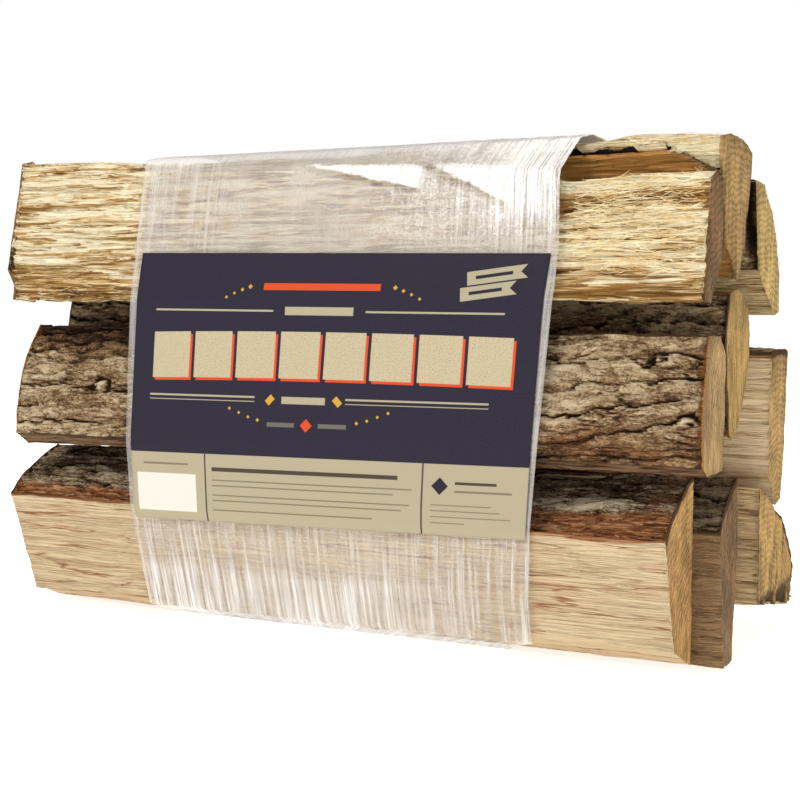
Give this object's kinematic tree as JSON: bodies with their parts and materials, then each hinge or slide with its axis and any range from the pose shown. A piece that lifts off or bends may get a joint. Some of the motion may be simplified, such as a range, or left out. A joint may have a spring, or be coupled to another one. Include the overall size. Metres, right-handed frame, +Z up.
{
  "type": "firewood bundle",
  "caption": "Bundle of split firewood logs stacked in rows and held by a band of clear stretch film, with a printed label on the front.",
  "frame": {"origin": "under the middle of the bundle's box, at the height of the film band's flat underside, which it rests on", "axes": "+Z up, +X along the logs towards the end seen from the right of the label, -Y out of the front that carries the label"},
  "size_m": [0.4304, 0.1806, 0.2706],
  "materials": {
    "split_wood": "raw, torn along the grain, splintery and dry",
    "bark": "rough, deeply fissured and dull",
    "film": "clear stretch film in several turns, glossy, with fine streaks and wrinkles",
    "label": "printed paper sheet with a dull satin coat"
  },
  "bodies": {
    "root": {"log_top_front": "split_wood", "log_top_middle": "split_wood", "log_top_back": "split_wood", "log_middle_front": "bark", "log_middle_centre": "split_wood", "log_middle_back": "split_wood", "log_bottom_front": "split_wood", "log_bottom_centre": "split_wood", "log_bottom_back": "split_wood", "stretch_wrap": "film", "label": "label"}
  },
  "joints": []
}
